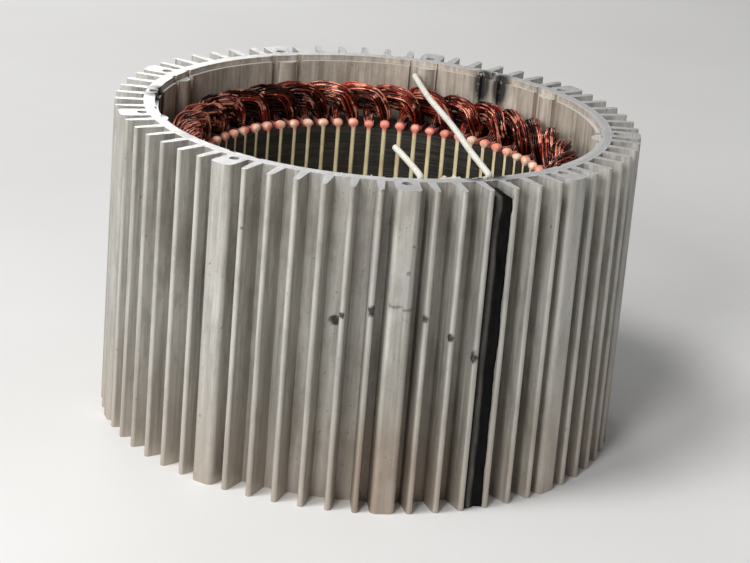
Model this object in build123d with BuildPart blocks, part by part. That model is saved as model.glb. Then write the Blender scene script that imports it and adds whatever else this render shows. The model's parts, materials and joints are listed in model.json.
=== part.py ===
from build123d import *
import math
import os

# Stator frame of a permanent magnet alternator, with its wound stator fitted.
# Origin: on the bore axis, in the plane of the lower end face. +Z runs up the bore.
# One of the nine screw bosses lies on +X, and one of the three seams on -X.

# Laminated core, in millimetres
core_length = 132.0
bore_radius = 122.0
slot_count = 66
slot_opening = 3.8
slot_lip = 1.3
slot_shoulder = 1.6
slot_depth = 21.0
tooth_width = 6.0
yoke_thickness = 11.4
core_fit = 0.1

# Frame round the core
frame_height = 225.0
wall_thickness = 10.5
fin_height = 20.0
segment_count = 3
bosses_per_segment = 3
fins_between_bosses = 6
fin_tip_width = 4.2
fin_root_width = 6.0
boss_width = 16.5
boss_corner = 4.0
column_radius = 8.0
column_proud = 4.0
column_groove_width = 5.0
column_groove_depth = 3.5

# Machined ends of the frame: a spigot recess with a relief groove, and tapped screw holes.
# The upper recess is a little wider than the lower one, so the end shields can't be swapped.
spigot_steps = (2.0, 2.5)
spigot_depth = 4.0
relief_width = 0.6
relief_depth = 0.6
tapped_hole_radius = 3.4
tapped_hole_offset = 4.0

# Seams between the segments
seam_key_radius = 3.0
seam_key_clearance = 0.1
seam_key_recess = 1.5
seam_groove_width = 4.6
seam_groove_depth = 3.5
seam_groove_offset = 7.7
sealant_recess = 2.0
sealant_top_gap = 5.0
sealant_clearance = 0.1

# Slot insulation: a U-shaped liner in each slot, and a wedge with a rib in the slot's mouth
liner_thickness = 0.4
liner_clearance = 0.1
liner_cuff = 4.0
wedge_thickness = 1.8
wedge_setback = 0.5

# Coils: each spans three slots, and lies inside its neighbour on one hand, outside it on the other
coil_span_slots = 3
coil_step_slots = 2
coil_groups = 11
coil_clearance = 0.15
bundle_radius = 5.0
bundle_gap = 1.8
crown_reach = 30.5
arch_foot_run = 5.85
knuckle_spread = 3.6
knuckle_shift = 1.2

# Sleeves on the crown at the upper end, and the cord ties round them
sleeve_radius = 4.0
sleeve_lengths = (14.0, 26.5)
sleeve_exit_angles = (-62.5, -86.5)
sleeve_offsets = (0.0, 3.4)
tie_cord_radius = 0.8
ties_per_sleeve = 2
tie_inset = 3.5

# Leads, each straight out of its sleeve for the first run. Then x, y and the rise over the crown.
# The long lead lies across the bore to the far wall, and the short one stands out over the bore.
lead_radius = 2.25
lead_first_runs = (16.5, 14.0)
lead_points = (
    (
        (82.6, -96.2, 4.6),
        (77.6, -78.5, 4.8),
        (66.6, -43.5, 6.4),
        (55.2, 2.0, 7.6),
        (43.5, 46.0, 7.0),
        (30.4, 98.5, 4.6),
        (19.0, 150.4, 5.6),
    ),
    (
        (33.4, -127.7, 4.8),
        (37.6, -114.3, 4.6),
        (30.9, -94.4, 5.4),
        (22.8, -72.8, 6.4),
        (15.9, -56.2, 7.2),
    ),
)

# Derived places
boss_count = segment_count * bosses_per_segment
segment_angle = 360 / segment_count
boss_pitch = 360 / boss_count
fin_pitch = boss_pitch / (fins_between_bosses + 1)
slot_pitch = 360 / slot_count
slot_mouth_radius = bore_radius + slot_lip
slot_flank_radius = slot_mouth_radius + slot_shoulder
slot_bottom_radius = bore_radius + slot_depth
core_radius = slot_bottom_radius + yoke_thickness
core_bottom = (frame_height - core_length) / 2
core_top = core_bottom + core_length
frame_bore_radius = core_radius + core_fit
wall_middle_radius = frame_bore_radius + wall_thickness / 2
fin_root_radius = frame_bore_radius + wall_thickness
frame_radius = fin_root_radius + fin_height
column_centre_radius = frame_bore_radius + column_radius - column_proud
tapped_circle_radius = fin_root_radius + tapped_hole_offset
crown_top = core_top + crown_reach
lane_centre = (slot_flank_radius + slot_bottom_radius) / 2
lane_offset = bundle_radius + bundle_gap / 2
inner_lane = lane_centre - lane_offset
outer_lane = lane_centre + lane_offset
sleeve_height = crown_top + 2 * tie_cord_radius + sleeve_radius

os.makedirs("parts", exist_ok=True)


def ring_point(radius, angle, height=0.0):
    return (radius * math.cos(math.radians(angle)), radius * math.sin(math.radians(angle)), height)


def slot_width(radius):
    return 2 * radius * math.tan(math.radians(slot_pitch / 2)) - tooth_width


# Profiles across the bore axis, each drawn on +X and rooted in the middle of the frame's wall
tip_circle_radius = frame_radius - fin_tip_width / 2
boss_length = frame_radius - wall_middle_radius

with BuildSketch() as fin_profile:
    with BuildLine():
        Polyline(
            (wall_middle_radius, -fin_root_width / 2),
            (fin_root_radius, -fin_root_width / 2),
            (tip_circle_radius, -fin_tip_width / 2),
            (tip_circle_radius, fin_tip_width / 2),
            (fin_root_radius, fin_root_width / 2),
            (wall_middle_radius, fin_root_width / 2),
            close=True,
        )
    make_face()
    with Locations((tip_circle_radius, 0)):
        Circle(fin_tip_width / 2)

with BuildSketch() as boss_profile:
    with Locations((wall_middle_radius + boss_length / 2, 0)):
        RectangleRounded(boss_length, boss_width, boss_corner)

with BuildSketch() as segment_sector:
    with BuildLine():
        sector_reach = 2 * frame_radius
        Polyline(
            (0, 0),
            ring_point(sector_reach, -segment_angle / 2),
            (sector_reach, 0),
            ring_point(sector_reach, segment_angle / 2),
            close=True,
        )
    make_face()

with BuildSketch() as segment_profile:
    Circle(fin_root_radius)
    Circle(frame_bore_radius, mode=Mode.SUBTRACT)
    with PolarLocations(0, boss_count * (fins_between_bosses + 1)):
        add(fin_profile.sketch)
    with PolarLocations(0, boss_count):
        add(boss_profile.sketch)
    with PolarLocations(frame_bore_radius, boss_count):
        for side in (-1, 1):
            with Locations((0, side * (column_radius + column_groove_width / 2))):
                Rectangle(2 * column_groove_depth, column_groove_width, mode=Mode.SUBTRACT)
    with PolarLocations(column_centre_radius, boss_count):
        Circle(column_radius)
    with PolarLocations(tapped_circle_radius, boss_count):
        Circle(tapped_hole_radius, mode=Mode.SUBTRACT)
    with PolarLocations(frame_bore_radius, segment_count, segment_angle / 2):
        for side in (-1, 1):
            with Locations((0, side * seam_groove_offset)):
                Rectangle(2 * seam_groove_depth, seam_groove_width, mode=Mode.SUBTRACT)
    with PolarLocations(wall_middle_radius, segment_count, segment_angle / 2):
        Circle(seam_key_radius + seam_key_clearance, mode=Mode.SUBTRACT)
    add(segment_sector.sketch, mode=Mode.INTERSECT)

# One extruded segment, with a spigot recess and its relief groove turned in both ends
recess_start_radius = frame_bore_radius - 2 * column_proud
relief_start = spigot_depth - relief_width

with BuildPart() as frame_segment:
    add(segment_profile.sketch)
    extrude(amount=frame_height)
    with BuildSketch(Plane.XZ) as recess_profile:
        for spigot_step, face, inward in zip(spigot_steps, (0, frame_height), (1, -1)):
            spigot_radius = frame_bore_radius + spigot_step
            with BuildLine():
                Polyline(
                    (recess_start_radius, face),
                    (spigot_radius, face),
                    (spigot_radius, face + inward * relief_start),
                    (spigot_radius + relief_depth, face + inward * relief_start),
                    (spigot_radius + relief_depth, face + inward * spigot_depth),
                    (recess_start_radius, face + inward * spigot_depth),
                    close=True,
                )
            make_face()
    revolve(axis=Axis.Z, mode=Mode.SUBTRACT)

for number in range(segment_count):
    with BuildPart() as segment:
        add(frame_segment.part, rotation=(0, 0, number * segment_angle))
    segment.part.label = f"frame_segment_{number + 1}"
    export_step(segment.part, f"parts/{segment.part.label}.step")

# Round key and black sealant in each seam
fin_gap_angle = fin_pitch / 2
channel_root = fin_root_radius + sealant_clearance
channel_face = frame_radius - sealant_recess


def channel_half_width(radius):
    share = (radius - fin_root_radius) / (tip_circle_radius - fin_root_radius)
    fin_half = (fin_root_width + (fin_tip_width - fin_root_width) * share) / 2
    return radius * math.sin(math.radians(fin_gap_angle)) - fin_half - sealant_clearance


for number in range(segment_count):
    seam_angle = (number + 0.5) * segment_angle
    with BuildPart() as seam_key:
        with BuildSketch(Plane.XY.offset(seam_key_recess)):
            with PolarLocations(wall_middle_radius, 1, seam_angle):
                Circle(seam_key_radius)
        extrude(amount=frame_height - 2 * seam_key_recess)
    seam_key.part.label = f"seam_key_{number + 1}"
    export_step(seam_key.part, f"parts/{seam_key.part.label}.step")

    with BuildPart() as seam_sealant:
        with BuildSketch() as channel:
            with BuildLine():
                Polyline(
                    (channel_root, -channel_half_width(channel_root)),
                    (channel_face, -channel_half_width(channel_face)),
                    (channel_face, channel_half_width(channel_face)),
                    (channel_root, channel_half_width(channel_root)),
                    close=True,
                )
            make_face()
            Circle(channel_root, mode=Mode.SUBTRACT)
        extrude(amount=frame_height - sealant_top_gap)
    with BuildPart() as placed_sealant:
        add(seam_sealant.part, rotation=(0, 0, seam_angle))
    placed_sealant.part.label = f"seam_sealant_{number + 1}"
    export_step(placed_sealant.part, f"parts/{placed_sealant.part.label}.step")


# Slots, liners, wedges and coil legs share one outline, set in by a clearance
def slot_outline(inset, start_radius, end_radius):
    return (
        (start_radius, -slot_width(start_radius) / 2 + inset),
        (end_radius, -slot_width(end_radius) / 2 + inset),
        (end_radius, slot_width(end_radius) / 2 - inset),
        (start_radius, slot_width(start_radius) / 2 - inset),
    )


with BuildSketch() as slot_profile:
    with BuildLine():
        Polyline(
            (bore_radius - slot_lip, -slot_opening / 2),
            (slot_mouth_radius, -slot_opening / 2),
            *slot_outline(0, slot_flank_radius, slot_bottom_radius),
            (slot_mouth_radius, slot_opening / 2),
            (bore_radius - slot_lip, slot_opening / 2),
            close=True,
        )
    make_face()

liner_end_radius = slot_bottom_radius - liner_clearance
liner_start_radius = slot_flank_radius + liner_clearance
liner_wall = liner_clearance + liner_thickness

with BuildSketch() as liner_profile:
    Polygon(*slot_outline(liner_clearance, liner_start_radius, liner_end_radius), align=None)
    inner_end = liner_end_radius - liner_thickness
    Polygon(*slot_outline(liner_wall, slot_mouth_radius, inner_end), align=None, mode=Mode.SUBTRACT)

wedge_inset = liner_wall + liner_clearance
wedge_end_radius = liner_start_radius + wedge_thickness

with BuildSketch() as wedge_profile:
    Polygon(*slot_outline(wedge_inset, liner_start_radius, wedge_end_radius), align=None)
    rib_length = wedge_end_radius - bore_radius - wedge_setback
    with Locations((wedge_end_radius - rib_length / 2, 0)):
        Rectangle(rib_length, slot_opening - 2 * liner_clearance)

leg_inset = liner_wall + coil_clearance
leg_start_radius = wedge_end_radius + coil_clearance
leg_end_radius = liner_end_radius - liner_thickness - coil_clearance

with BuildSketch() as leg_profile:
    Polygon(*slot_outline(leg_inset, leg_start_radius, leg_end_radius), align=None)

# Laminated core with open slots, and grooves outside that fit the frame's columns
with BuildPart() as stator_core:
    with BuildSketch(Plane.XY.offset(core_bottom)):
        Circle(core_radius)
        Circle(bore_radius, mode=Mode.SUBTRACT)
        with PolarLocations(column_centre_radius, boss_count):
            Circle(column_radius + core_fit, mode=Mode.SUBTRACT)
        with PolarLocations(0, slot_count, start_angle=slot_pitch / 2):
            add(slot_profile.sketch, mode=Mode.SUBTRACT)
    extrude(amount=core_length)
stator_core.part.label = "stator_core"
export_step(stator_core.part, "parts/stator_core.step")

# U-shaped slot liners, with cuffs that stand out of both core faces
with BuildPart() as slot_liners:
    with BuildSketch(Plane.XY.offset(core_bottom - liner_cuff)):
        with PolarLocations(0, slot_count, start_angle=slot_pitch / 2):
            add(liner_profile.sketch)
    extrude(amount=core_length + 2 * liner_cuff)
slot_liners.part.label = "slot_liners"
export_step(slot_liners.part, "parts/slot_liners.step")

# Wedges that close the slots towards the bore
with BuildPart() as slot_wedges:
    with BuildSketch(Plane.XY.offset(core_bottom - liner_cuff)):
        with PolarLocations(0, slot_count, start_angle=slot_pitch / 2):
            add(wedge_profile.sketch)
    extrude(amount=core_length + 2 * liner_cuff)
slot_wedges.part.label = "slot_wedges"
export_step(slot_wedges.part, "parts/slot_wedges.step")

# One coil: two legs in their slots and an arch of wire over each end of the core.
# The arch leaves the first slot near the bore, and comes down to the second one further out.
first_slot = slot_pitch / 2
last_slot = first_slot + coil_span_slots * slot_pitch
middle = (first_slot + last_slot) / 2
arch_foot = core_top + liner_cuff + coil_clearance
arch_bend = arch_foot + arch_foot_run
arch_top = crown_top - bundle_radius
arch_points = (
    ring_point(inner_lane, first_slot, arch_foot),
    ring_point(inner_lane, first_slot, arch_bend),
    ring_point(inner_lane + knuckle_shift, middle - knuckle_spread / 2, arch_top),
    ring_point(outer_lane - knuckle_shift, middle + knuckle_spread / 2, arch_top),
    ring_point(outer_lane, last_slot, arch_bend),
    ring_point(outer_lane, last_slot, arch_foot),
)


def corner_radii(points, share=0.45):
    vectors = [Vector(*end) - Vector(*start) for start, end in zip(points, points[1:])]
    radii = []
    for before, after in zip(vectors, vectors[1:]):
        half_turn = math.radians(before.get_angle(after)) / 2
        radii.append(share * min(before.length, after.length) / math.tan(half_turn))
    return radii


with BuildPart() as coil:
    with BuildLine():
        FilletPolyline(*arch_points, radius=corner_radii(arch_points))
    with BuildSketch(Plane(origin=arch_points[0], z_dir=(0, 0, 1))):
        Circle(bundle_radius)
    sweep()
    mirror(about=Plane.XY.offset(frame_height / 2))
    with BuildSketch(Plane.XY.offset(frame_height - arch_bend)):
        with PolarLocations(0, 2, first_slot, last_slot - first_slot, endpoint=True):
            add(leg_profile.sketch)
    extrude(amount=2 * arch_bend - frame_height)

coils_per_group = slot_count // coil_step_slots // coil_groups
coil_step = coil_step_slots * slot_pitch
for number in range(coil_groups):
    start_angle = number * coils_per_group * coil_step
    with BuildPart() as coil_group:
        with PolarLocations(0, coils_per_group, start_angle, (coils_per_group - 1) * coil_step, endpoint=True):
            add(coil.part)
    coil_group.part.label = f"coil_group_{number + 1}"
    export_step(coil_group.part, f"parts/{coil_group.part.label}.step")

# Each lead comes out of the end of a sleeve that lies along the crown under its ties
sleeve_ends = []
for exit_angle, offset, sleeve_length in zip(sleeve_exit_angles, sleeve_offsets, sleeve_lengths):
    exit_point = Vector(*ring_point(lane_centre + offset, exit_angle, sleeve_height))
    heading = Vector(*ring_point(1, exit_angle + 90))
    sleeve_ends.append((exit_point, heading, sleeve_length))

for number, (exit_point, heading, sleeve_length) in enumerate(sleeve_ends):
    with BuildPart() as lead_sleeve:
        with BuildSketch(Plane(origin=exit_point - heading * sleeve_length, z_dir=heading)):
            Circle(sleeve_radius)
        extrude(amount=sleeve_length)
    lead_sleeve.part.label = f"lead_sleeve_{number + 1}"
    export_step(lead_sleeve.part, f"parts/{lead_sleeve.part.label}.step")

    route = [tuple(exit_point), tuple(exit_point + heading * lead_first_runs[number])]
    route += [(x, y, crown_top + rise) for x, y, rise in lead_points[number]]
    radii = corner_radii(route)
    with BuildPart() as lead:
        with BuildLine() as lead_path:
            FilletPolyline(*route, radius=radii)
        with BuildSketch(Plane(origin=exit_point, z_dir=heading)):
            Circle(lead_radius)
        sweep()
    lead.part.label = f"lead_{number + 1}"
    export_step(lead.part, f"parts/{lead.part.label}.step")
    lead_length = sum(edge.length for edge in lead_path.edges())
    section_area = math.pi * lead_radius**2
    print(lead.part.label, "corner radii", [round(radius, 1) for radius in radii])
    print("length", round(lead_length, 1), "volume share", lead.part.volume / (section_area * lead_length))

tie_ring_radius = sleeve_radius + tie_cord_radius
with BuildPart() as sleeve_ties:
    for exit_point, heading, sleeve_length in sleeve_ends:
        tie_pitch = (sleeve_length - 2 * tie_inset) / (ties_per_sleeve - 1)
        for place in range(ties_per_sleeve):
            centre = exit_point - heading * (tie_inset + place * tie_pitch)
            with Locations(Plane(origin=centre, z_dir=heading)):
                Torus(tie_ring_radius, tie_cord_radius)
sleeve_ties.part.label = "sleeve_ties"
export_step(sleeve_ties.part, "parts/sleeve_ties.step")
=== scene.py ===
import json
import math
import random

import bpy
from mathutils import Matrix, Vector, noise


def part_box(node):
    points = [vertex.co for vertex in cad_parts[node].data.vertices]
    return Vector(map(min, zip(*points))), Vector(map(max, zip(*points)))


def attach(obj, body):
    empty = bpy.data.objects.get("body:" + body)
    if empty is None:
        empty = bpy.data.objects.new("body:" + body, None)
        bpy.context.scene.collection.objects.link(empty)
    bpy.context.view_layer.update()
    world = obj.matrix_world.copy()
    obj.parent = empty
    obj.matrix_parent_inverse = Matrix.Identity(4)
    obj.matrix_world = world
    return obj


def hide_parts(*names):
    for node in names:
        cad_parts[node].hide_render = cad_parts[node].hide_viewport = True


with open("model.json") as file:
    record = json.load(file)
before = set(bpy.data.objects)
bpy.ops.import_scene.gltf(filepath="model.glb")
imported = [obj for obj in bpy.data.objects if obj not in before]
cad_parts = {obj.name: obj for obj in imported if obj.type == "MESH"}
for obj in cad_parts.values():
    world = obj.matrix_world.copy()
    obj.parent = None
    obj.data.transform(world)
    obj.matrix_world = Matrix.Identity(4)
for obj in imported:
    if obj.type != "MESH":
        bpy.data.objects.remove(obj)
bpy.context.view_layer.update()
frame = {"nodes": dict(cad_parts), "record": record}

MM = 0.001


def corners(node):
    low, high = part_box(node)
    return [round(value / MM, 3) for value in low], [round(value / MM, 3) for value in high]


# Places taken from the frame, in millimetres
FRAME_RADIUS = corners("frame_segment_1")[1][0]
FRAME_HEIGHT = corners("frame_segment_1")[1][2]
CORE_BOTTOM = corners("stator_core")[0][2]
CORE_TOP = corners("stator_core")[1][2]
CUFF = corners("slot_liners")[1][2] - CORE_TOP
SEALANT_TOP = corners("seam_sealant_1")[1][2]
MOUNTS = {mount["name"]: mount["dims"] for mount in frame["record"]["mounts"]}
BORE_RADIUS = MOUNTS["stator_bore"]["r_mm"]

# Sizes that repeat the part's source, in millimetres and degrees
SEAM_ANGLES = (60.0, 180.0, 300.0)
FIN_HEIGHT = 20.0
FIN_ROOT_WIDTH = 6.0
FIN_TIP_WIDTH = 4.2
FIN_PITCH = 360.0 / 63
WALL_THICKNESS = 10.5
SLOT_COUNT = 66
SLOT_FLANK = 2.9
SLOT_DEPTH = 21.0
TOOTH_WIDTH = 6.0
CROWN_REACH = 30.5
TIE_CORD_RADIUS = 0.8
SLEEVE_RADIUS = 4.0

FIN_ROOT_RADIUS = FRAME_RADIUS - FIN_HEIGHT
FIN_TIP_RADIUS = FRAME_RADIUS - FIN_TIP_WIDTH / 2
WALL_RADIUS = FIN_ROOT_RADIUS - WALL_THICKNESS
SLOT_PITCH = 360.0 / SLOT_COUNT
SLOT_FLANK_RADIUS = BORE_RADIUS + SLOT_FLANK
SLOT_BOTTOM_RADIUS = BORE_RADIUS + SLOT_DEPTH
LANE_CENTRE = (SLOT_FLANK_RADIUS + SLOT_BOTTOM_RADIUS) / 2
CROWN_TOP = CORE_TOP + CROWN_REACH
SLEEVE_HEIGHT = CROWN_TOP + 2 * TIE_CORD_RADIUS + SLEEVE_RADIUS
UP = Vector((0, 0, 1))


def ring(radius, angle, height=0.0):
    turn = math.radians(angle)
    return Vector((radius * math.cos(turn), radius * math.sin(turn), height))


# Camera: where the photograph was taken from, aimed at the object through a longer lens
EYE = Vector((0.07206, -1.65035, 0.67637))
TARGET = Vector((0.00747, 0.0, 0.09867))
ROLL = 4.77
LENS = 116.5

camera = bpy.data.objects.new("camera", bpy.data.cameras.new("camera"))
bpy.context.scene.collection.objects.link(camera)
camera.data.lens = LENS
camera.data.sensor_width = 36.0
camera.matrix_world = (
    Matrix.Translation(EYE)
    @ (TARGET - EYE).to_track_quat("-Z", "Y").to_matrix().to_4x4()
    @ Matrix.Rotation(math.radians(ROLL), 4, "Z")
)
bpy.context.scene.camera = camera


# Building materials from nodes
class Graph:
    def __init__(self, name):
        self.material = bpy.data.materials.new(name)
        self.material.use_nodes = True
        self.nodes = self.material.node_tree.nodes
        self.links = self.material.node_tree.links
        self.shader = self.nodes["Principled BSDF"]

    def put(self, socket, value):
        if isinstance(value, bpy.types.NodeSocket):
            self.links.new(value, socket)
        else:
            socket.default_value = value

    def add(self, kind, values=None, **settings):
        node = self.nodes.new("ShaderNode" + kind)
        for key, value in settings.items():
            setattr(node, key, value)
        for key, value in (values or {}).items():
            self.put(node.inputs[key], value)
        return node

    def math(self, operation, *values, clamp=False):
        node = self.add("Math", dict(enumerate(values)), operation=operation)
        node.use_clamp = clamp
        return node.outputs[0]

    def place(self, scale=(1, 1, 1)):
        source = self.add("TexCoord").outputs["Object"]
        return self.add("Mapping", {"Vector": source, "Scale": scale}).outputs[0]

    def axes(self):
        return self.add("SeparateXYZ", {0: self.add("TexCoord").outputs["Object"]}).outputs

    def distance_from_bore(self, axes):
        x_squared = self.math("MULTIPLY", axes[0], axes[0])
        y_squared = self.math("MULTIPLY", axes[1], axes[1])
        return self.math("SQRT", self.math("ADD", x_squared, y_squared))

    def past_core(self, axes, start, end, low=0.0, high=1.0):
        """From low to high over the stretch that starts and ends so far past either face of the core."""
        middle = (CORE_TOP + CORE_BOTTOM) / 2 * MM
        apart = self.math("ABSOLUTE", self.math("SUBTRACT", axes[2], middle))
        return self.span(apart, (CORE_TOP + start) * MM - middle, (CORE_TOP + end) * MM - middle, low, high)

    def noise(self, scale, detail=4.0, stretch=(1, 1, 1), roughness=0.55):
        values = {
            "Vector": self.place(stretch),
            "Scale": scale,
            "Detail": detail,
            "Roughness": roughness,
        }
        return self.add("TexNoise", values).outputs[0]

    def waves(self, direction, pitch):
        values = {"Vector": self.place(direction), "Scale": pitch, "Distortion": 0.6}
        return self.add("TexWave", values, bands_direction="DIAGONAL").outputs[1]

    def span(self, value, low, high, start=0.0, end=1.0):
        values = {0: value, 1: low, 2: high, 3: start, 4: end}
        node = self.add("MapRange", values)
        node.clamp = True
        return node.outputs[0]

    def mix(self, share, first, second, blend="MIX"):
        node = self.add("Mix", data_type="RGBA", blend_type=blend)
        self.put(node.inputs[0], share)
        self.put(node.inputs[6], first)
        self.put(node.inputs[7], second)
        return node.outputs[2]

    def spot(self, centre, core, reach, flat=1.0):
        x, y, z = centre
        squeezed = self.place((1.0, 1.0, flat))
        middle = (x * MM, y * MM, z * MM * flat)
        apart = self.add("VectorMath", {0: squeezed, 1: middle}, operation="DISTANCE").outputs["Value"]
        return self.span(apart, core * MM, reach * MM, 1.0, 0.0)

    def spots(self, marks):
        found = [self.spot(centre, reach * 0.5, reach, flat) for centre, reach, flat in marks]
        share = found[0]
        for other in found[1:]:
            share = self.math("MAXIMUM", share, other)
        return share

    def bump(self, height, distance, strength=1.0, normal=None):
        values = {"Height": height, "Distance": distance, "Strength": strength}
        if normal is not None:
            values["Normal"] = normal
        return self.add("Bump", values).outputs[0]

    def finish(self, **inputs):
        for key, value in inputs.items():
            self.put(self.shader.inputs[key.replace("_", " ")], value)
        return self.material


def rgb(red, green, blue):
    return (red, green, blue, 1.0)


# Marks on the frame: dark knocks across the front fins, a scratch with two specks on the front boss, and
# black dabs at the seams' upper ends, by the sealant and in the grooves. Each has its place in millimetres,
# its reach, and how many times it is wider than it is high. A darker brown patch lies at the foot of the
# front boss.
KNOCKS = (
    ((-10.2, -164.9, 127.0), 5.6, 1.3),
    ((-4.8, -183.9, 138.0), 3.0, 1.0),
    ((14.8, -183.4, 142.8), 4.8, 0.8),
    ((47.5, -177.8, 138.1), 4.6, 1.1),
    ((65.3, -172.0, 125.1), 4.6, 1.2),
    ((81.6, -164.9, 110.2), 5.4, 0.9),
)
SCRATCH = (
    ((29.5, -182.6, 146.6), 6.8, 4.0),
    ((38.3, -181.0, 144.6), 6.8, 4.0),
    ((35.5, -181.6, 169.5), 2.2, 1.0),
    ((38.0, -181.0, 187.9), 1.8, 1.0),
)
BROWN_PATCH_CENTRE = (31.0, -182.0, 16.0)
BROWN_PATCH_REACH = 42.0
GROOVE_TURN = 2.86
GROOVE_DAB_RADIUS = WALL_RADIUS + 2.5
CHANNEL_DAB_RADIUS = FIN_ROOT_RADIUS + 5.0
DABS = [((85.6, -142.3, FRAME_HEIGHT), 2.2, 1.0), ((93.3, -139.7, FRAME_HEIGHT), 2.0, 1.0)]
for seam in SEAM_ANGLES:
    DABS.append((ring(GROOVE_DAB_RADIUS, seam - GROOVE_TURN, FRAME_HEIGHT - 9.0), 11.0, 0.5))
    DABS.append((ring(GROOVE_DAB_RADIUS, seam + GROOVE_TURN, FRAME_HEIGHT - 9.0), 11.0, 0.5))
    DABS.append((ring(CHANNEL_DAB_RADIUS, seam, FRAME_HEIGHT - 8.0), 8.5, 1.0))


def extruded_colour(graph, axes, radius, streaks, broad, blotch):
    mottle = graph.noise(95.0, 5.0, (1.0, 1.0, 0.3), 0.7)
    speck = graph.noise(300.0, 3.0, (1.0, 1.0, 0.5), 0.7)
    colour = graph.mix(graph.span(streaks, 0.36, 0.66), rgb(0.36, 0.345, 0.31), rgb(0.66, 0.64, 0.59))
    colour = graph.mix(graph.span(broad, 0.44, 0.62, 0.0, 0.6), colour, rgb(0.74, 0.72, 0.665))
    colour = graph.mix(graph.span(blotch, 0.50, 0.68, 0.0, 0.72), colour, rgb(0.25, 0.215, 0.17))
    colour = graph.mix(graph.span(mottle, 0.50, 0.64, 0.0, 0.5), colour, rgb(0.29, 0.27, 0.225))
    # Painted shade: the fin tips are darkened so that they look no brighter than the flanks
    painted_shade_on_tips = graph.span(radius, (FIN_TIP_RADIUS - 3.9) * MM, (FIN_TIP_RADIUS + 0.1) * MM, 0.0, 0.38)
    colour = graph.mix(painted_shade_on_tips, colour, rgb(0.32, 0.31, 0.28))
    brown_foot = graph.span(axes[2], 0.0, 100.0 * MM, 0.5, 0.0)
    colour = graph.mix(brown_foot, colour, rgb(0.42, 0.335, 0.26))
    # Painted shade with some grime: darker in the gaps between the fins towards their roots, broken up by
    # the blotches
    outside = graph.span(radius, (FIN_ROOT_RADIUS - 2.5) * MM, (FIN_ROOT_RADIUS - 1.0) * MM)
    low, high = (FIN_ROOT_RADIUS + 1.0) * MM, (FIN_ROOT_RADIUS + 16.0) * MM
    grime_and_painted_shade = graph.span(radius, low, high, 0.40, 0.0)
    darkening = graph.math("MULTIPLY", grime_and_painted_shade, outside)
    darkening = graph.math("MULTIPLY", darkening, graph.span(blotch, 0.30, 0.58, 0.5, 1.0))
    colour = graph.mix(darkening, colour, rgb(0.115, 0.10, 0.082))
    return graph.mix(graph.span(speck, 0.68, 0.74, 0.0, 0.8), colour, rgb(0.09, 0.075, 0.06))


def marked_colour(graph, colour, blotch, ragged, knocks):
    scratch = graph.span(graph.math("ADD", graph.spots(SCRATCH), ragged), 0.35, 0.9)
    colour = graph.mix(graph.math("MULTIPLY", scratch, 0.6), colour, rgb(0.10, 0.088, 0.07))
    colour = graph.mix(graph.math("MULTIPLY", knocks, 0.95), colour, rgb(0.026, 0.021, 0.017))
    # A darker brown patch at the foot of the front boss, broken up by the blotches
    discolouring = graph.spot(BROWN_PATCH_CENTRE, BROWN_PATCH_REACH * 0.3, BROWN_PATCH_REACH, 0.7)
    discolouring = graph.math("MULTIPLY", discolouring, graph.span(blotch, 0.36, 0.56, 0.3, 0.8))
    return graph.mix(discolouring, colour, rgb(0.25, 0.17, 0.115))


def turned_colour(graph, rings, blotch):
    colour = graph.mix(graph.span(rings, 0.3, 0.7), rgb(0.58, 0.57, 0.55), rgb(0.80, 0.795, 0.78))
    return graph.mix(graph.span(blotch, 0.50, 0.68, 0.0, 0.6), colour, rgb(0.38, 0.36, 0.33))


def aluminium():
    graph = Graph("frame_aluminium")
    axes = graph.axes()
    radius = graph.distance_from_bore(axes)
    facing = graph.add("SeparateXYZ", {0: graph.add("NewGeometry").outputs["Normal"]}).outputs[2]
    end_face = graph.span(graph.math("ABSOLUTE", facing), 0.6, 0.9)
    inside = graph.span(radius, (WALL_RADIUS + 3.3) * MM, (WALL_RADIUS + 5.5) * MM, 1.0, 0.0)
    streaks = graph.noise(330.0, 5.0, (1.0, 1.0, 0.035), 0.62)
    broad = graph.noise(60.0, 5.0, (1.0, 1.0, 0.10), 0.66)
    blotch = graph.noise(17.0, 7.0, (1.0, 1.0, 0.5), 0.68)
    turning = {"W": graph.math("MULTIPLY", radius, 1500.0), "Scale": 1.0, "Detail": 2.0}
    rings = graph.add("TexNoise", turning, noise_dimensions="1D").outputs[0]
    fine = graph.noise(420.0, 5.0, roughness=0.75)
    ragged = graph.math("MULTIPLY", graph.math("SUBTRACT", fine, 0.5), 2.6)
    knocks = graph.span(graph.math("ADD", graph.spots(KNOCKS), ragged), 0.32, 1.05)
    dabs = graph.math("MULTIPLY", graph.spots(DABS), graph.span(graph.noise(200.0, 4.0), 0.26, 0.40))

    sides = extruded_colour(graph, axes, radius, streaks, broad, blotch)
    sides = marked_colour(graph, sides, blotch, ragged, knocks)
    sides = graph.mix(inside, sides, rgb(0.92, 0.82, 0.74), "MULTIPLY")
    colour = graph.mix(end_face, sides, turned_colour(graph, rings, blotch))
    colour = graph.mix(graph.math("MULTIPLY", dabs, 0.96), colour, rgb(0.014, 0.013, 0.012))

    height = graph.math("ADD", graph.math("MULTIPLY", streaks, 0.7), graph.math("MULTIPLY", broad, 0.8))
    height = graph.math("SUBTRACT", height, graph.math("MULTIPLY", knocks, 1.4))
    normal = graph.bump(height, 0.0007, 0.7)
    normal = graph.bump(graph.math("MULTIPLY", rings, end_face), 0.0002, 0.5, normal)
    rough = graph.span(streaks, 0.3, 0.7, 0.36, 0.58)
    rough = graph.math("ADD", rough, graph.math("MULTIPLY", end_face, -0.06))
    metal = graph.math("ADD", 0.42, graph.math("MULTIPLY", end_face, 0.12))
    metal = graph.math("SUBTRACT", metal, graph.math("MULTIPLY", inside, 0.22))
    metal = graph.math("SUBTRACT", metal, graph.math("MULTIPLY", dabs, 0.4), clamp=True)
    return graph.finish(Base_Color=colour, Metallic=metal, Roughness=rough, Normal=normal)


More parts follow.
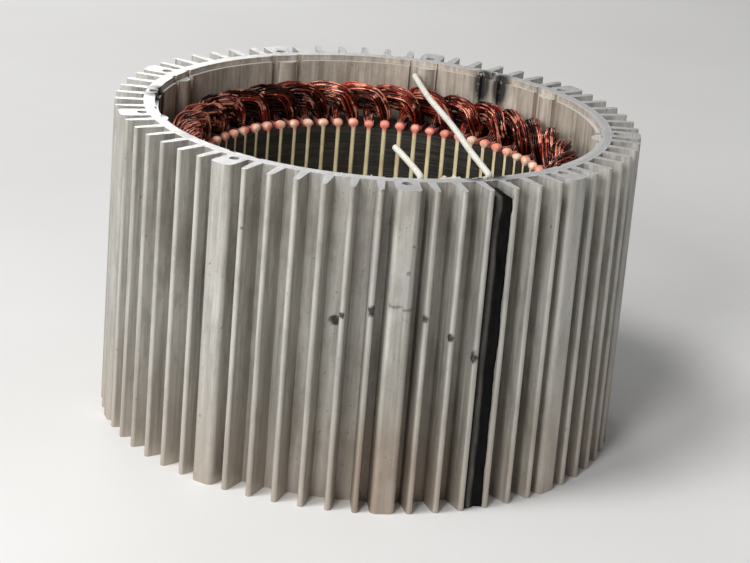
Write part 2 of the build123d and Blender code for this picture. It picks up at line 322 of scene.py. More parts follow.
def steel_bar():
    graph = Graph("key_steel")
    grain = graph.noise(700.0, 3.0, (1.0, 1.0, 0.1))
    rust = graph.noise(90.0, 5.0)
    colour = graph.mix(graph.span(grain, 0.3, 0.7), rgb(0.30, 0.30, 0.30), rgb(0.55, 0.55, 0.54))
    colour = graph.mix(graph.span(rust, 0.55, 0.75, 0.0, 0.7), colour, rgb(0.22, 0.12, 0.07))
    return graph.finish(Base_Color=colour, Metallic=0.9, Roughness=graph.span(grain, 0.3, 0.7, 0.3, 0.5))


# The sealant's tone runs from -1 to 1 across each bead, and places the grey streak, a painted highlight, on
# its left half
def sealant():
    graph = Graph("black_sealant")
    across = graph.add("Attribute", attribute_name="tone").outputs["Fac"]
    lumps = graph.noise(120.0, 4.0)
    dust = graph.noise(36.0, 6.0, (1.0, 1.0, 0.35), 0.65)
    runs = graph.noise(60.0, 5.0, (1.0, 1.0, 0.12), 0.6)
    colour = graph.mix(graph.span(lumps, 0.3, 0.7), rgb(0.002, 0.002, 0.002), rgb(0.007, 0.0065, 0.006))
    # Painted highlight: a grey streak down the left half of the bead, broken into runs
    painted_highlight_streak = graph.span(graph.math("ABSOLUTE", graph.math("ADD", across, 0.42)), 0.10, 0.42, 1.0, 0.0)
    painted_highlight_streak = graph.math("MULTIPLY", painted_highlight_streak, graph.span(runs, 0.36, 0.56, 0.1, 0.9))
    colour = graph.mix(painted_highlight_streak, colour, rgb(0.16, 0.15, 0.13))
    colour = graph.mix(graph.span(dust, 0.60, 0.76, 0.0, 0.4), colour, rgb(0.12, 0.11, 0.10))
    return graph.finish(
        Base_Color=colour,
        Roughness=graph.span(dust, 0.4, 0.7, 0.5, 0.8),
        Specular_IOR_Level=0.08,
        Normal=graph.bump(lumps, 0.0015, 0.6),
    )


def laminations():
    graph = Graph("core_steel")
    sheets = graph.noise(1000.0, 2.0, (0.01, 0.01, 1.0))
    discolouring = graph.noise(45.0, 5.0, (1.0, 1.0, 0.5), 0.6)
    varnish = graph.noise(160.0, 4.0, (1.0, 1.0, 0.25))
    colour = graph.mix(graph.span(sheets, 0.35, 0.65), rgb(0.014, 0.013, 0.010), rgb(0.055, 0.051, 0.041))
    colour = graph.mix(graph.span(discolouring, 0.5, 0.72, 0.0, 0.75), colour, rgb(0.045, 0.026, 0.015))
    rough = graph.span(varnish, 0.3, 0.7, 0.34, 0.6)
    normal = graph.bump(sheets, 0.0004, 0.7)
    normal = graph.bump(varnish, 0.0006, 0.3, normal)
    return graph.finish(Base_Color=colour, Metallic=0.3, Roughness=rough, Normal=normal)


# Paper or strip insulation. Its two tip colours, where it has them, take over at the core's ends.
def paper(name, pale, dark, discolouring, tip=None):
    graph = Graph(name)
    fibre = graph.noise(900.0, 3.0, (1.0, 1.0, 0.12))
    soak = graph.noise(70.0, 5.0, (1.0, 1.0, 0.4), 0.62)
    colour = graph.mix(graph.span(fibre, 0.3, 0.7), dark, pale)
    colour = graph.mix(graph.span(soak, 0.5, 0.72, 0.0, 0.7), colour, discolouring)
    if tip:
        hue = graph.mix(graph.span(graph.noise(60.0, 2.0), 0.37, 0.56), *tip)
        share = graph.math("MULTIPLY", graph.past_core(graph.axes(), -3.4, -0.6), 0.92)
        colour = graph.mix(share, colour, hue)
    return graph.finish(
        Base_Color=colour,
        Roughness=graph.span(soak, 0.4, 0.7, 0.55, 0.30),
        Normal=graph.bump(fibre, 0.0003, 0.5),
    )


# Red enamel, with painted shade at the winding's left and right ends and down near the slots. Painted
# glints, bright lumps, show most on the inner side and far left. The tone of each strand shifts its red.
def enamel():
    graph = Graph("winding_enamel")
    tone = graph.add("Attribute", attribute_name="tone").outputs["Fac"]
    patch = graph.noise(75.0, 5.0, roughness=0.66)
    lumps = graph.noise(115.0, 2.5, roughness=0.6)
    fine = graph.noise(420.0, 3.0)
    axes = graph.axes()
    inward = graph.span(graph.distance_from_bore(axes), 0.127, 0.137, 1.0, 0.35)
    blend = graph.math("ADD", graph.math("MULTIPLY", tone, 0.5), graph.math("MULTIPLY", patch, 0.8))
    # Painted shade: the enamel is darker towards the winding's left and right ends
    blend = graph.math("ADD", blend, graph.span(axes[0], -0.09, 0.0, -0.07, 0.0))
    blend = graph.math("ADD", blend, graph.span(axes[0], 0.05, 0.12, 0.0, -0.12))
    colour = graph.mix(graph.span(blend, 0.50, 0.92), rgb(0.008, 0.0018, 0.0016), rgb(0.44, 0.046, 0.022))
    colour = graph.mix(graph.span(fine, 0.60, 0.76, 0.0, 0.25), colour, rgb(0.40, 0.075, 0.04))
    # Painted glints: bright lumps, most on the bore-facing side and at the far left
    share = graph.math("ADD", graph.math("MULTIPLY", lumps, 0.85), graph.math("MULTIPLY", tone, 0.15))
    share = graph.math("ADD", share, graph.span(axes[0], -0.118, -0.090, 0.085, 0.0))
    painted_glints = graph.math("MULTIPLY", graph.span(share, 0.55, 0.60), inward)
    colour = graph.mix(painted_glints, colour, rgb(0.86, 0.36, 0.25))
    # Painted shade: near black in the slots and the voids just past the core's ends, fading by 13 mm out
    colour = graph.mix(graph.past_core(axes, 4.0, 13.0, 0.85, 0.0), colour, rgb(0.007, 0.002, 0.002))
    return graph.finish(
        Base_Color=colour,
        Metallic=0.4,
        Roughness=graph.span(patch, 0.3, 0.7, 0.22, 0.40),
        Specular_IOR_Level=0.45,
        Specular_Tint=rgb(1.0, 0.62, 0.52),
        Coat_Weight=0.15,
        Coat_Roughness=0.12,
        Coat_Tint=rgb(1.0, 0.8, 0.74),
        Normal=graph.bump(fine, 0.0003, 0.4),
    )


def woven(name, pale, dark, pitch):
    graph = Graph(name)
    rising = graph.waves((1.0, 1.0, 1.0), pitch)
    falling = graph.waves((1.0, -1.0, -1.0), pitch)
    braid = graph.math("MAXIMUM", rising, falling)
    darkening = graph.noise(60.0, 5.0)
    colour = graph.mix(graph.span(braid, 0.3, 1.0), dark, pale)
    colour = graph.mix(graph.span(darkening, 0.5, 0.75, 0.0, 0.4), colour, rgb(0.52, 0.44, 0.30))
    return graph.finish(Base_Color=colour, Roughness=0.8, Normal=graph.bump(braid, 0.0004, 0.7))


MATERIALS = {
    "frame_aluminium": aluminium(),
    "key_steel": steel_bar(),
    "black_sealant": sealant(),
    "core_steel": laminations(),
    "slot_insulation": paper(
        "slot_insulation",
        rgb(0.62, 0.20, 0.17),
        rgb(0.42, 0.12, 0.10),
        rgb(0.16, 0.035, 0.03),
    ),
    "slot_wedge": paper(
        "slot_wedge",
        rgb(0.86, 0.75, 0.46),
        rgb(0.64, 0.54, 0.31),
        rgb(0.42, 0.27, 0.14),
        tip=(rgb(1.0, 0.78, 0.56), rgb(0.92, 0.26, 0.19)),
    ),
    "winding_enamel": enamel(),
    "cream_sleeving": woven("cream_sleeving", rgb(0.86, 0.82, 0.62), rgb(0.58, 0.53, 0.36), 420.0),
    "tie_cord": woven("tie_cord", rgb(0.86, 0.84, 0.78), rgb(0.55, 0.52, 0.45), 700.0),
    "lead_sheath": woven("lead_sheath", rgb(0.90, 0.89, 0.80), rgb(0.66, 0.64, 0.54), 520.0),
}


def dress(obj, slot_name):
    obj.data.materials.clear()
    obj.data.materials.append(MATERIALS[slot_name])


def ride(obj, slot_name, *nodes):
    dress(obj, slot_name)
    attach(obj, "root")
    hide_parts(*nodes)


# The leads, which come first: each line's points are those of the part's route
LEAD_DIAMETER = 4.5
LEAD_EXIT_ANGLES = (-62.5, -86.5)
LEAD_OFFSETS = (0.0, 3.4)
LEAD_FIRST_RUNS = (16.5, 14.0)
LEAD_POINTS = (
    (
        (82.6, -96.2, 213.6),
        (77.6, -78.5, 213.8),
        (66.6, -43.5, 215.4),
        (55.2, 2.0, 216.6),
        (43.5, 46.0, 216.0),
        (30.4, 98.5, 213.6),
        (19.0, 150.4, 214.6),
    ),
    (
        (33.4, -127.7, 213.8),
        (37.6, -114.3, 213.6),
        (30.9, -94.4, 214.4),
        (22.8, -72.8, 215.4),
        (15.9, -56.2, 216.2),
    ),
)


def lead_route(number):
    exit_angle = LEAD_EXIT_ANGLES[number]
    exit_point = ring(LANE_CENTRE + LEAD_OFFSETS[number], exit_angle, SLEEVE_HEIGHT)
    first_point = exit_point + ring(LEAD_FIRST_RUNS[number], exit_angle + 90.0)
    return [exit_point, first_point, *LEAD_POINTS[number]]


def lead(name, node, points):
    curve = bpy.data.curves.new(name, "CURVE")
    curve.dimensions = "3D"
    curve.resolution_u = 16
    curve.bevel_depth = LEAD_DIAMETER / 2 * MM
    curve.bevel_resolution = 5
    curve.use_fill_caps = True
    spline = curve.splines.new("NURBS")
    spline.points.add(len(points) - 1)
    for place, point in zip(spline.points, points):
        place.co = (*(value * MM for value in point), 1.0)
    spline.order_u = 3
    spline.use_endpoint_u = True
    cord = bpy.data.objects.new(name, curve)
    bpy.context.scene.collection.objects.link(cord)
    ride(cord, "lead_sheath", node)


LEAD_ROUTES = (lead_route(0), lead_route(1))
lead("lead_long", "lead_1", LEAD_ROUTES[0])
lead("lead_short", "lead_2", LEAD_ROUTES[1])


# Meshes, made from points in millimetres
def new_mesh(name, points, faces):
    mesh = bpy.data.meshes.new(name)
    mesh.from_pydata([tuple(value * MM for value in point) for point in points], [], faces)
    mesh.validate()
    mesh.update()
    mesh.shade_smooth()
    obj = bpy.data.objects.new(name, mesh)
    bpy.context.scene.collection.objects.link(obj)
    return obj


def set_tone(piece, tones):
    layer = piece.data.attributes.new("tone", "FLOAT", "POINT")
    layer.data.foreach_set("value", tones)


def loop_tube(points, faces, line, radius, sides, axis=None):
    """Adds a closed tube along a loop. Its sections are turned to the axis, or else away from the bore."""
    count = len(line)
    start = len(points)
    for index, spot in enumerate(line):
        ahead = (line[(index + 1) % count] - line[index - 1]).normalized()
        guide = Vector((spot.x, spot.y, 0)).normalized() if axis is None else axis
        normal = (guide - ahead * guide.dot(ahead)).normalized()
        binormal = ahead.cross(normal)
        for corner in range(sides):
            turn = 2 * math.pi * corner / sides
            points.append(spot + (normal * math.cos(turn) + binormal * math.sin(turn)) * radius)
    for index in range(count):
        here = start + index * sides
        above = start + (index + 1) % count * sides
        for corner in range(sides):
            beside = (corner + 1) % sides
            faces.append((here + corner, here + beside, above + beside, above + corner))


def smooth_step(value):
    value = min(max(value, 0.0), 1.0)
    return value * value * (3 - 2 * value)


# Winding: every coil is a closed loop of strands, gathered in its slots and rounded over the crown.
# Its upper rows arch over the crown, and its under rows pass below its neighbours.
COIL_GROUPS = 11
COILS_PER_GROUP = 3
COIL_STEP = 2
COIL_SPAN = 3
COLUMNS = 5
ROWS = 8
UPPER_ROWS = 5
STRAND_RADIUS = 0.66
STRAND_SIDES = 5
SLOT_HALF_WIDTH = 1.9
SLOT_HALF_DEPTH = 6.9
UPPER_RADIUS = 4.7
UNDER_RADIUS = 5.0
UNDER_DROP = 10.0
UNDER_SHIFT = 4.2
STRAND_CEILING = CROWN_TOP + 0.6
LOOSE_SHARE = 0.18
LOOSE_STRAY = 3.4
USUAL_STRAY = 1.7

# The arch: how far out its line runs, how high over the core, and how many degrees round from its legs
ARCH_STEPS = 26
LEG_RADIUS = LANE_CENTRE + 0.65
INNER_LANE = LEG_RADIUS - 6.2
OUTER_LANE = LEG_RADIUS + 5.0
LEG_SINK = 6.0
LEG_RISE = 2.0
KNEE_RISE = 7.0
KNEE_SHIFT = 2.5
FLANK_RISE = 13.0
FLANK_TURN = 0.7
SHOULDER_RISE = 23.0
SHOULDER_TURN = 2.7
SHOULDER_SWELL = 0.2
TOP_RISE = 27.0
TOP_TURN = 3.3
TOP_INSET = 1.2
GATHER_RISE = 12.0


def arch_controls(first, last, lift, lean, under):
    middle = (first + last) / 2 + lean
    drop, shift = (UNDER_DROP, UNDER_SHIFT) if under else (0.0, 0.0)
    inner, outer = INNER_LANE + shift, OUTER_LANE + shift
    flank = CORE_TOP + FLANK_RISE - 0.3 * drop
    shoulder = CORE_TOP + SHOULDER_RISE - 0.9 * drop
    top = CORE_TOP + TOP_RISE + lift - drop
    return [
        ring(LEG_RADIUS, first, CORE_TOP - LEG_SINK),
        ring(LEG_RADIUS, first, CORE_TOP + LEG_RISE),
        ring(LEG_RADIUS - KNEE_SHIFT + shift, first, CORE_TOP + KNEE_RISE),
        ring(inner, first + FLANK_TURN, flank),
        ring(inner - SHOULDER_SWELL, first + SHOULDER_TURN, shoulder),
        ring(inner + TOP_INSET, middle - TOP_TURN, top),
        ring(outer - TOP_INSET, middle + TOP_TURN, top),
        ring(outer + SHOULDER_SWELL, last - SHOULDER_TURN, shoulder),
        ring(outer, last - FLANK_TURN, flank),
        ring(LEG_RADIUS + KNEE_SHIFT, last, CORE_TOP + KNEE_RISE),
        ring(LEG_RADIUS, last, CORE_TOP + LEG_RISE),
        ring(LEG_RADIUS, last, CORE_TOP - LEG_SINK),
    ]


def spline_point(controls, share):
    """A point of the uniform cubic B-spline that starts and ends at the outer controls."""
    padded = [controls[0]] * 2 + controls + [controls[-1]] * 2
    reach = share * (len(padded) - 3)
    index = min(int(reach), len(padded) - 4)
    part = reach - index
    weights = (
        (1 - part) ** 3 / 6,
        (3 * part**3 - 6 * part**2 + 4) / 6,
        (-3 * part**3 + 3 * part**2 + 3 * part + 1) / 6,
        part**3 / 6,
    )
    return sum((padded[index + step] * weights[step] for step in range(4)), Vector())


def section_places():
    """Where each strand lies in its coil: across and along the slot, and on the round bundle."""
    places = []
    for row in range(ROWS):
        under = row >= UPPER_ROWS
        start, rows = (UPPER_ROWS, ROWS - UPPER_ROWS) if under else (0, UPPER_ROWS)
        for column in range(COLUMNS):
            across = -1 + 2 * column / (COLUMNS - 1)
            along = -1 + 2 * row / (ROWS - 1)
            level = -1 + 2 * (row - start) / (rows - 1)
            reach = max(abs(across), abs(level)) * (UNDER_RADIUS if under else UPPER_RADIUS)
            places.append((across, along, reach, math.atan2(level, across), under))
    return places


def arch_line(controls, place, twist, loose, seed):
    across, along, reach, turn, _ = place
    line = []
    for index in range(ARCH_STEPS + 1):
        share = index / ARCH_STEPS
        point = spline_point(controls, share)
        before = spline_point(controls, max(share - 0.01, 0.0))
        ahead = (spline_point(controls, min(share + 0.01, 1.0)) - before).normalized()
        outward = Vector((point.x, point.y, 0)).normalized()
        outward = (outward - ahead * outward.dot(ahead)).normalized()
        side = ahead.cross(outward)
        gather = smooth_step((point.z - CORE_TOP - LEG_RISE) / GATHER_RISE)
        slow = noise.noise_vector(Vector((share * 4.0, seed, 0.0)))
        fast = noise.noise_vector(Vector((share * 11.0, seed, 5.0)))
        stray = slow * (0.2 + loose * gather) + fast * (0.1 + 0.3 * loose * gather)
        spin = turn + twist * gather * (share - 0.5) * 2
        x = (1 - gather) * SLOT_HALF_WIDTH * across + gather * reach * math.cos(spin)
        y = (1 - gather) * SLOT_HALF_DEPTH * along + gather * reach * math.sin(spin)
        spot = point + side * (x + stray.x) + outward * (y + stray.y)
        spot.z -= 0.75 * max(spot.z - STRAND_CEILING, 0.0)
        line.append(spot)
    return line


def coil(points, faces, tones, number, chance):
    first = (number * COIL_STEP + 0.5) * SLOT_PITCH
    last = first + COIL_SPAN * SLOT_PITCH
    paths = {}
    for under in (False, True):
        lift = 0.8 * math.sin(number * 2.1) + chance.uniform(-1.8, 0.6)
        lean = chance.uniform(-1.4, 1.4)
        paths[under] = [arch_controls(first, last, way * lift, way * lean, under) for way in (1, -1)]
    twist = chance.uniform(-1.6, 2.2)
    shade = chance.uniform(-0.25, 0.15)
    for index, place in enumerate(section_places()):
        under = place[-1]
        seed = number * 41.3 + index * 1.7
        loose = LOOSE_STRAY if chance.random() < LOOSE_SHARE else USUAL_STRAY
        upper, lower = paths[under]
        line = arch_line(upper, place, twist, loose, seed)
        below = arch_line(lower, place, -twist, loose, seed + 17.0)
        line += [Vector((spot.x, spot.y, FRAME_HEIGHT - spot.z)) for spot in reversed(below)]
        loop_tube(points, faces, line, STRAND_RADIUS, STRAND_SIDES)
        # Painted shade: the under rows get darker tones than the upper rows
        tone = shade + chance.random() * (0.45 if under else 1.0)
        tones += [tone] * (len(line) * STRAND_SIDES)


# Unless its seed is set, the noise that gives vectors takes one from the clock
def windings():
    chance = random.Random(7)
    noise.seed_set(7)
    for group in range(COIL_GROUPS):
        points, faces, tones = [], [], []
        for number in range(group * COILS_PER_GROUP, (group + 1) * COILS_PER_GROUP):
            coil(points, faces, tones, number, chance)
        piece = new_mesh(f"coil_strands_{group + 1}", points, faces)
        set_tone(piece, tones)
        ride(piece, "winding_enamel", f"coil_group_{group + 1}")


windings()


# Slot liners: a folded paper channel in each slot, with a cuff that flares a little at both ends.
# Each level has its height, how far the channel grows there, and how thick its paper shows.
LINER_THICKNESS = 0.4
LINER_CLEARANCE = 0.1
LINER_CORNER = 1.2
CUFF_WAVE = 0.45
LINER_LEVELS = (
    (CORE_BOTTOM - CUFF, 0.5, 2 * LINER_THICKNESS),
    (CORE_BOTTOM - CUFF * 0.55, 0.5, 1.75 * LINER_THICKNESS),
    (CORE_BOTTOM - 0.6, 0.15, LINER_THICKNESS),
    (CORE_BOTTOM + 3.0, 0.0, LINER_THICKNESS),
    (CORE_TOP - 3.0, 0.0, LINER_THICKNESS),
    (CORE_TOP + 0.6, 0.15, LINER_THICKNESS),
    (CORE_TOP + CUFF * 0.55, 0.5, 1.75 * LINER_THICKNESS),
    (CORE_TOP + CUFF, 0.5, 2 * LINER_THICKNESS),
)


def liner_half_width(radius):
    return radius * math.tan(math.radians(SLOT_PITCH / 2)) - TOOTH_WIDTH / 2 - LINER_CLEARANCE


def channel_outline(grow):
    """Radius and width of the liner's points, up one side of the slot, round its bottom and back."""
    start = SLOT_FLANK_RADIUS + LINER_CLEARANCE
    bottom = SLOT_BOTTOM_RADIUS - LINER_CLEARANCE
    end = bottom + grow
    half_start = liner_half_width(start) + grow
    half_end = liner_half_width(bottom) + grow
    half = [
        (start, half_start),
        ((start + end) / 2, (half_start + half_end) / 2),
        (end - LINER_CORNER, half_end),
        (end - LINER_CORNER * 0.3, half_end - LINER_CORNER * 0.3),
        (end, half_end - LINER_CORNER),
    ]
    near_side = [(radius, -width) for radius, width in half]
    return near_side + [(end, 0.0)] + half[::-1]


def liner_points(slot_number):
    angle = (slot_number + 0.5) * SLOT_PITCH
    forward, across = ring(1.0, angle), ring(1.0, angle + 90.0)
    points = []
    for level, grow, thickness in LINER_LEVELS:
        for inset in (0.0, thickness):
            for index, (radius, width) in enumerate(channel_outline(grow - inset)):
                place = Vector((slot_number * 3.1, index * 0.9, level))
                wave = CUFF_WAVE * noise.noise(place) if grow else 0.0
                points.append(forward * (radius + wave) + across * (width + wave) + UP * (level + wave))
    return points


def liner_faces(start, count):
    faces = []
    for step in range(len(LINER_LEVELS) - 1):
        low, high = start + step * 2 * count, start + (step + 1) * 2 * count
        for index in range(count - 1):
            inner = count + index
            faces.append((low + index, low + index + 1, high + index + 1, high + index))
            faces.append((low + inner + 1, low + inner, high + inner, high + inner + 1))
        for edge in (0, count - 1):
            quad = (low + edge, high + edge, high + count + edge, low + count + edge)
            faces.append(quad if edge == 0 else quad[::-1])
    for step, flip in ((0, False), (len(LINER_LEVELS) - 1, True)):
        base = start + step * 2 * count
        for index in range(count - 1):
            quad = (base + index, base + count + index, base + count + index + 1, base + index + 1)
            faces.append(quad[::-1] if flip else quad)
    return faces


def liners():
    points, faces = [], []
    count = len(channel_outline(0.0))
    for slot_number in range(SLOT_COUNT):
        faces += liner_faces(len(points), count)
        points += liner_points(slot_number)
    ride(new_mesh("paper_liners", points, faces), "slot_insulation", "slot_liners")


liners()


# Wedges: a strip in each slot's mouth, whose ends swell under their varnish into beads.
# Each section of an end has its reach past the core, its width share, and how far it swells in depth.
WEDGE_HALF_WIDTH = 1.8
WEDGE_INNER = BORE_RADIUS + 0.4
WEDGE_OUTER = BORE_RADIUS + 4.6
WEDGE_SQUARENESS = 0.9
WEDGE_SIDES = 14
WEDGE_END = (
    (-4.0, 1.00, 0.0),
    (-1.5, 1.04, 0.1),
    (0.2, 1.16, 0.2),
    (0.9, 1.60, 0.6),
    (2.2, 1.95, 1.0),
    (3.6, 1.92, 1.0),
    (4.8, 1.50, 0.5),
    (5.6, 0.74, -0.6),
)


def wedge_section(angle, level, width, swell, lean):
    forward, across = ring(1.0, angle), ring(1.0, angle + 90.0)
    centre = (WEDGE_INNER + WEDGE_OUTER) / 2
    depth = (WEDGE_OUTER - WEDGE_INNER) / 2 + swell
    section = []
    for side in range(WEDGE_SIDES):
        turn = 2 * math.pi * side / WEDGE_SIDES
        x, y = math.cos(turn), math.sin(turn)
        square = 1 / max(abs(x), abs(y)) ** WEDGE_SQUARENESS
        out = centre + depth * x * square
        aside = WEDGE_HALF_WIDTH * width * y * square + lean
        section.append(forward * out + across * aside + UP * level)
    return section


def wedge_end(angle, base, way, chance):
    stretch = chance.uniform(0.85, 1.1)
    fat = chance.uniform(0.88, 1.12)
    lean = chance.uniform(-0.35, 0.35)
    sections = []
    for reach, width, swell in WEDGE_END:
        growth = 1 + (width - 1) * fat
        tilt = lean * max(reach, 0.0) / 5.0
        sections.append(wedge_section(angle, base + way * reach * stretch, growth, swell, tilt))
    return sections


def wedges():
    points, faces = [], []
    chance = random.Random(19)
    for slot_number in range(SLOT_COUNT):
        angle = (slot_number + 0.5) * SLOT_PITCH
        start = len(points)
        sections = wedge_end(angle, CORE_BOTTOM, -1, chance)[::-1]
        sections += wedge_end(angle, CORE_TOP, 1, chance)
        for section in sections:
            points += section
        for step in range(len(sections) - 1):
            low, high = start + step * WEDGE_SIDES, start + (step + 1) * WEDGE_SIDES
            for side in range(WEDGE_SIDES):
                beside = (side + 1) % WEDGE_SIDES
                faces.append((low + side, low + beside, high + beside, high + side))
        faces.append(tuple(range(start + WEDGE_SIDES - 1, start - 1, -1)))
        faces.append(tuple(range(len(points) - WEDGE_SIDES, len(points))))
    ride(new_mesh("wedge_strips", points, faces), "slot_wedge", "slot_wedges")


wedges()


# Sealant: a lumpy bead that fills the channel over each seam, with a blob at its upper end
BEAD_STEPS = 110
BEAD_ACROSS = 10
BEAD_FOOT = 0.4
BEAD_ROOT = FIN_ROOT_RADIUS + 0.1
BEAD_FACE = FIN_TIP_RADIUS - 2.0
BEAD_SIDE_GAP = 0.05
BEAD_MIDDLE = 174.0
BEAD_FOOT_RISE = 0.2
BEAD_TOP_RISE = 1.6
BLOB_HEIGHT = 6.0
BLOB_SWELL = 1.4
SLUMP = 2.2
SLUMP_HEIGHT = 14.0


def channel_half_width(radius):
    share = (radius - FIN_ROOT_RADIUS) / (FIN_TIP_RADIUS - FIN_ROOT_RADIUS)
    fin_half = (FIN_ROOT_WIDTH + (FIN_TIP_WIDTH - FIN_ROOT_WIDTH) * share) / 2
    return radius * math.sin(math.radians(FIN_PITCH / 2)) - fin_half - BEAD_SIDE_GAP


def bead_line(number, level):
    """Radius, width, height and tone of the bead's points, across the channel at one level."""
    blob = BLOB_SWELL * math.exp(-(((level - SEALANT_TOP + BLOB_HEIGHT) / BLOB_HEIGHT) ** 2))
    near_top = smooth_step((level - SEALANT_TOP + SLUMP_HEIGHT) / SLUMP_HEIGHT)
    line = [(BEAD_ROOT, -channel_half_width(BEAD_ROOT), level, 0.0)]
    for index in range(BEAD_ACROSS + 1):
        share = -1 + 2 * index / BEAD_ACROSS
        lump = noise.noise(Vector((number * 9.0 + share * 1.3, level * 0.045, 2.0)))
        ripple = noise.noise(Vector((number * 5.0 + share * 2.6, level * 0.21, 7.0)))
        crawl = 1.5 * share**4 + 0.9 * (1 - share * share) * (0.5 + lump)
        radius = BEAD_FACE + crawl + 1.1 * lump + 0.55 * ripple + blob
        width = share * channel_half_width(min(radius, FIN_TIP_RADIUS))
        line.append((radius, width, level - SLUMP * share**4 * near_top, share))
    line.append((BEAD_ROOT, channel_half_width(BEAD_ROOT), level, 0.0))
    return line


def bead(number):
    seam_angle = SEAM_ANGLES[number - 1]
    forward, across = ring(1.0, seam_angle), ring(1.0, seam_angle + 90.0)
    points, faces, tones = [], [], []
    count = BEAD_ACROSS + 3
    for step in range(BEAD_STEPS + 1):
        level = BEAD_FOOT + (SEALANT_TOP - BEAD_FOOT) * step / BEAD_STEPS
        for radius, width, height, tone in bead_line(number, level):
            points.append(forward * radius + across * width + UP * height)
            tones.append(tone)
    for step in range(BEAD_STEPS):
        low, high = step * count, (step + 1) * count
        for index in range(count):
            beside = (index + 1) % count
            faces.append((low + index, low + beside, high + beside, high + index))
    foot_centre = len(points)
    top_centre = foot_centre + 1
    points.append(forward * BEAD_MIDDLE + UP * BEAD_FOOT_RISE)
    points.append(forward * (BEAD_MIDDLE - 1.0) + UP * (SEALANT_TOP + BEAD_TOP_RISE))
    tones += [0.0, 0.0]
    last = BEAD_STEPS * count
    for index in range(count):
        beside = (index + 1) % count
        faces.append((beside, index, foot_centre))
        faces.append((last + index, last + beside, top_centre))
    piece = new_mesh(f"sealant_bead_{number}", points, faces)
    set_tone(piece, tones)
    ride(piece, "black_sealant", f"seam_sealant_{number}")


for number in (1, 2, 3):
    bead(number)


def tube_shape(stations, sides):
    """A tube with closed ends, through stations that each have a place, a radius and a height share."""
    points, faces = [], []
    line = [place for place, _, _ in stations]
    for index, (place, radius, flat) in enumerate(stations):
        ahead = (line[min(index + 1, len(line) - 1)] - line[max(index - 1, 0)]).normalized()
        side = ahead.cross(UP).normalized()
        up = side.cross(ahead)
        for corner in range(sides):
            turn = 2 * math.pi * corner / sides
            fold = noise.noise(Vector((place.x * 0.25, place.y * 0.25, corner * 0.35)))
            reach = radius * (1 + 0.035 * fold)
            points.append(place + side * (math.cos(turn) * reach) + up * (math.sin(turn) * reach * flat))
    for index in range(len(stations) - 1):
        for corner in range(sides):
            here, beside = index * sides + corner, index * sides + (corner + 1) % sides
            faces.append((here, beside, beside + sides, here + sides))
    last = (len(stations) - 1) * sides
    faces.append(tuple(range(sides - 1, -1, -1)))
    faces.append(tuple(range(last, last + sides)))
    return points, faces


# Sleeves: woven tubes with an open, folded mouth, which dive into the crown at the back.
# The dive goes by its way back, drop, radius and height share, and the mouth by its way ahead and radius.
SLEEVE_LENGTHS = (14.0, 26.5)
SLEEVE_SIDES = 28
SLEEVE_STEP = 1.2
SLEEVE_TAIL = 2.0
SLEEVE_DIVE = (
    (11.0, 7.5, 2.9, 0.8),
    (8.0, 5.0, 3.4, 0.85),
    (4.5, 1.8, 3.8, 0.9),
    (2.0, 0.4, 3.9, 0.93),
)
SLEEVE_MOUTH = ((0.5, 3.75), (0.65, 3.4), (0.3, 3.05), (-2.0, 2.75))


def sleeve(name, node, route, length):
    exit_point = route[0]
    heading = (route[1] - exit_point).normalized()
    straight = length - SLEEVE_TAIL
    stations = []
    for back, drop, radius, flat in SLEEVE_DIVE:
        stations.append((exit_point - heading * (straight + back) - UP * drop, radius, flat))
    steps = max(int(length / SLEEVE_STEP), 6)
    for index in range(steps + 1):
        back = straight * (1 - index / steps)
        stations.append((exit_point - heading * back, SLEEVE_RADIUS - 0.05, 0.95))
    for ahead, radius in SLEEVE_MOUTH:
        stations.append((exit_point + heading * ahead, radius, 0.97))
    ride(new_mesh(name, *tube_shape(stations, SLEEVE_SIDES)), "cream_sleeving", node)


# Ties: two twisted yarns round each sleeve, with a knot and two short tails
TIE_INSET = 3.5
TIE_RING_RADIUS = 4.5
TIE_STEPS = 96
YARN_RADIUS = 0.36
YARN_SIDES = 7
YARN_LAY = 0.3
YARN_TWISTS = 13
KNOT_STEPS = 28
KNOT_SIZE = 0.85
KNOT_STANDOFF = 0.55
TAIL_STEPS = 8
TAIL_LENGTH = 6.0


def yarn_ring(centre, side, up, heading, yarn):
    line = []
    for index in range(TIE_STEPS):
        turn = 2 * math.pi * index / TIE_STEPS
        lay = turn * YARN_TWISTS + yarn * math.pi
        outward = side * math.cos(turn) + up * math.sin(turn)
        reach = TIE_RING_RADIUS + YARN_LAY * math.cos(lay)
        line.append(centre + outward * reach + heading * (YARN_LAY * math.sin(lay)))
    return line


def knot_loop(centre, first, second, size, tilt):
    line = []
    for index in range(KNOT_STEPS):
        turn = 2 * math.pi * index / KNOT_STEPS
        wobble = first.cross(second) * (0.5 * math.sin(2 * turn + tilt))
        line.append(centre + first * (size * math.cos(turn)) + second * (size * math.sin(turn)) + wobble)
    return line


def tail(knot, outward, along, heading, way):
    stations = []
    for index in range(TAIL_STEPS + 1):
        share = index / TAIL_STEPS
        bend = outward * (0.3 + 1.2 * share - 2.2 * share * share)
        run = heading * (way * TAIL_LENGTH * share) + along * (way * 0.4 + 1.5 * share * share)
        stations.append((knot + bend + run, YARN_RADIUS, 1.0))
    return tube_shape(stations, YARN_SIDES)


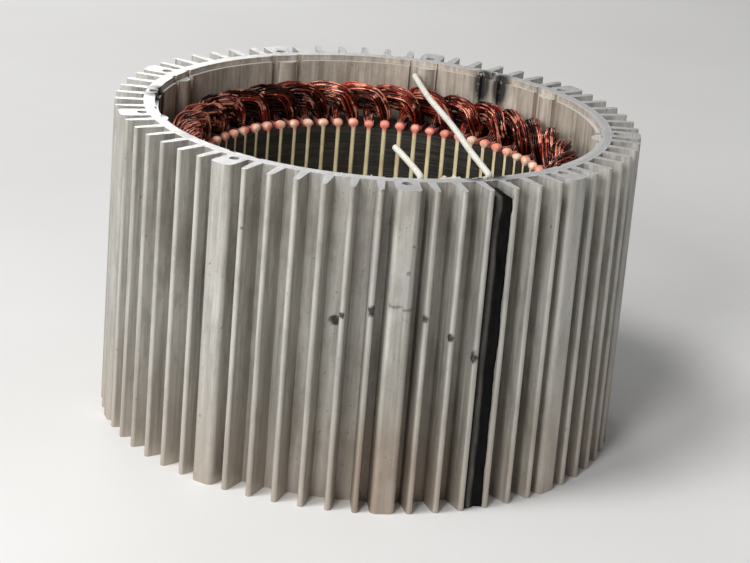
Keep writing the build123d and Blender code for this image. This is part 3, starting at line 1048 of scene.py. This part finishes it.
def tie(points, faces, centre, heading):
    side = heading.cross(UP).normalized()
    up = side.cross(heading)
    for yarn in (0, 1):
        line = yarn_ring(centre, side, up, heading, yarn)
        loop_tube(points, faces, line, YARN_RADIUS, YARN_SIDES, heading)
    outward = (up * 0.1 - side).normalized()
    along = heading.cross(outward)
    knot = centre + outward * (TIE_RING_RADIUS + KNOT_STANDOFF)
    first_loop = knot_loop(knot, along, outward, KNOT_SIZE, 0.4)
    second_loop = knot_loop(knot, heading, outward, KNOT_SIZE - 0.05, 1.9)
    loop_tube(points, faces, first_loop, YARN_RADIUS, YARN_SIDES, heading)
    loop_tube(points, faces, second_loop, YARN_RADIUS, YARN_SIDES, along)
    for way in (-1, 1):
        tail_points, tail_faces = tail(knot, outward, along, heading, way)
        start = len(points)
        points += tail_points
        faces += [tuple(start + corner for corner in face) for face in tail_faces]


def ties():
    points, faces = [], []
    for route, length in zip(LEAD_ROUTES, SLEEVE_LENGTHS):
        heading = (route[1] - route[0]).normalized()
        for back in (TIE_INSET, length - TIE_INSET):
            tie(points, faces, route[0] - heading * back, heading)
    ride(new_mesh("tie_yarns", points, faces), "tie_cord", "sleeve_ties")


sleeve("sleeve_long_lead", "lead_sleeve_1", LEAD_ROUTES[0], SLEEVE_LENGTHS[0])
sleeve("sleeve_short_lead", "lead_sleeve_2", LEAD_ROUTES[1], SLEEVE_LENGTHS[1])
ties()


# CAD nodes whose shape is right keep it, and get their finish
KEPT = {"stator_core": "core_steel"}
for number in (1, 2, 3):
    KEPT[f"frame_segment_{number}"] = "frame_aluminium"
    KEPT[f"seam_key_{number}"] = "key_steel"
for node, slot_name in KEPT.items():
    dress(frame["nodes"][node], slot_name)


# Floor, lamps and world
FLOOR_REACH = 6.0
LAMP_AIM = Vector((0, 0, 0.1))
LAMPS = (
    ("key", (-0.97, -0.82, 2.48), 0.8, 35.0),
    ("front", (-0.85, -2.45, 1.45), 0.8, 41.0),
    ("left", (-2.35, -1.25, 1.1), 1.2, 25.0),
    ("back", (-0.80, 2.3, 0.95), 1.0, 13.0),
)
WORLD_COLOUR = rgb(0.97, 0.97, 1.0)
WORLD_STRENGTH = 0.24


def floor():
    graph = Graph("floor")
    speckle = graph.noise(3.0, 3.0)
    colour = graph.mix(graph.span(speckle, 0.3, 0.7), rgb(0.74, 0.73, 0.71), rgb(0.78, 0.775, 0.76))
    graph.finish(Base_Color=colour, Roughness=0.85)
    corner_places = [(x * FLOOR_REACH, y * FLOOR_REACH, 0) for x, y in ((-1, -1), (1, -1), (1, 1), (-1, 1))]
    mesh = bpy.data.meshes.new("floor")
    mesh.from_pydata(corner_places, [], [(0, 1, 2, 3)])
    mesh.materials.append(graph.material)
    obj = bpy.data.objects.new("floor", mesh)
    bpy.context.scene.collection.objects.link(obj)


def lamp(name, place, size, power):
    light = bpy.data.lights.new(name, "AREA")
    light.shape = "DISK"
    light.size = size
    light.energy = power
    obj = bpy.data.objects.new(name, light)
    obj.location = place
    obj.rotation_euler = (LAMP_AIM - Vector(place)).to_track_quat("-Z", "Y").to_euler()
    bpy.context.scene.collection.objects.link(obj)


floor()
for name, place, size, power in LAMPS:
    lamp(name, place, size, power)
world = bpy.data.worlds.new("world")
world.use_nodes = True
world.node_tree.nodes["Background"].inputs[0].default_value = WORLD_COLOUR
world.node_tree.nodes["Background"].inputs[1].default_value = WORLD_STRENGTH
bpy.context.scene.world = world
bpy.context.scene.view_settings.view_transform = "Standard"
